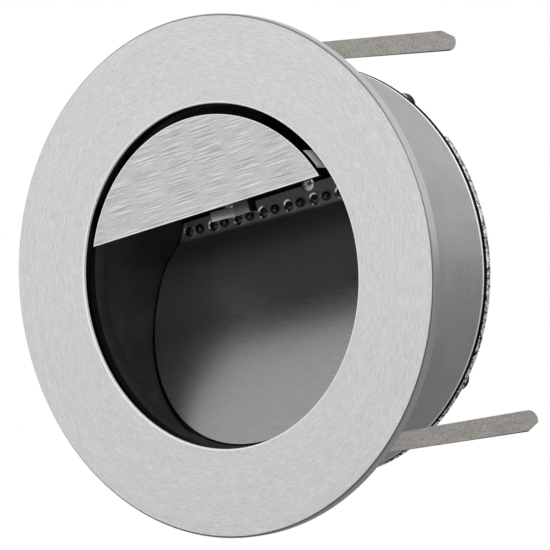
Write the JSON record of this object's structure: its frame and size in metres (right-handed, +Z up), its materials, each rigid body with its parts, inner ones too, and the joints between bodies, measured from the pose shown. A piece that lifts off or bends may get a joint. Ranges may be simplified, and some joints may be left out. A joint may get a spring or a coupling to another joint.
{
  "type": "recessed wall light",
  "caption": "Round recessed outdoor wall light: brushed ring, half-moon shade plate, sloping reflector under a row of LEDs, can housing held in the wall by leaf springs.",
  "frame": {"origin": "on the light's axis, in the wall plane, which is the back face of the bezel ring", "axes": "+Y into the wall along the light's axis, +Z up, +X to the right as seen from the front"},
  "size_m": [0.15, 0.0704, 0.15],
  "materials": {
    "bezel_steel": "fine turned brushing",
    "plate_steel": "brushed along the width",
    "reflector_steel": "brushed along the width, semi-bright",
    "bracket_steel": "dull mill finish",
    "can_aluminium": "fine matt",
    "liner_black": "dark satin",
    "seal_rubber": "matt black",
    "bright_steel": "bright zinc",
    "board_green": "solder mask",
    "lens_clear": "clear dome",
    "lens_amber": "smoky dome",
    "cover_black": "black satin",
    "rear_cast": "rough as cast",
    "screw_black": "black oxide",
    "spring_steel": "dull spring steel",
    "gland_plastic": "black moulded",
    "driver_white": "white moulded",
    "brass": "bright",
    "wire_brown": "insulation",
    "wire_red": "insulation"
  },
  "bodies": {
    "lamp": {"bezel_ring": "bezel_steel", "front_seal": "seal_rubber", "housing_can": "can_aluminium", "inner_liner": "liner_black", "tie_posts": "bright_steel", "reflector": "reflector_steel", "led_board": "board_green", "led_lenses": "lens_clear", "led_collars": "bright_steel", "led_emitters": "lens_amber", "board_screws": "bright_steel", "shade_plate": "plate_steel", "shade_rivets": "bright_steel", "shade_bracket": "bracket_steel", "bracket_pad": "seal_rubber", "rear_gasket": "seal_rubber", "rear_cover": "cover_black", "rear_plate": "rear_cast", "screw_washers": "bright_steel", "cover_screws": "screw_black", "spring_rivets": "bright_steel", "gland_body": "gland_plastic", "gland_cap": "gland_plastic", "gland_nut": "gland_plastic", "gland_seal": "seal_rubber", "led_driver": "driver_white", "driver_screws": "bright_steel", "terminal_block": "driver_white", "terminal_screws": "brass", "driver_leads": "wire_brown", "led_leads": "wire_red", "earth_screw": "brass", "spring_foot_upper_right": "spring_steel", "spring_foot_lower_right": "spring_steel", "spring_foot_upper_left": "spring_steel", "spring_foot_lower_left": "spring_steel"},
    "spring_upper_right": {"spring_blade_upper_right": "spring_steel"},
    "spring_lower_right": {"spring_blade_lower_right": "spring_steel"},
    "spring_upper_left": {"spring_blade_upper_left": "spring_steel"},
    "spring_lower_left": {"spring_blade_lower_left": "spring_steel"}
  },
  "joints": [
    {"name": "spring_upper_right_flex", "type": "hinge", "parent": "lamp", "child": "spring_upper_right", "pos_m": [0.02909, 0.00076, 0.05718], "axis": [0, 0, 1], "range_deg": [-4, 16], "stiffness_Nm_per_rad": 1.4},
    {"name": "spring_lower_right_flex", "type": "hinge", "parent": "lamp", "child": "spring_lower_right", "pos_m": [0.02909, 0.00076, -0.05718], "axis": [0, 0, 1], "range_deg": [-4, 16], "stiffness_Nm_per_rad": 1.4},
    {"name": "spring_upper_left_flex", "type": "hinge", "parent": "lamp", "child": "spring_upper_left", "pos_m": [-0.02909, 0.00076, 0.05718], "axis": [0, 0, -1], "range_deg": [-4, 16], "stiffness_Nm_per_rad": 1.4},
    {"name": "spring_lower_left_flex", "type": "hinge", "parent": "lamp", "child": "spring_lower_left", "pos_m": [-0.02909, 0.00076, -0.05718], "axis": [0, 0, -1], "range_deg": [-4, 16], "stiffness_Nm_per_rad": 1.4}
  ]
}
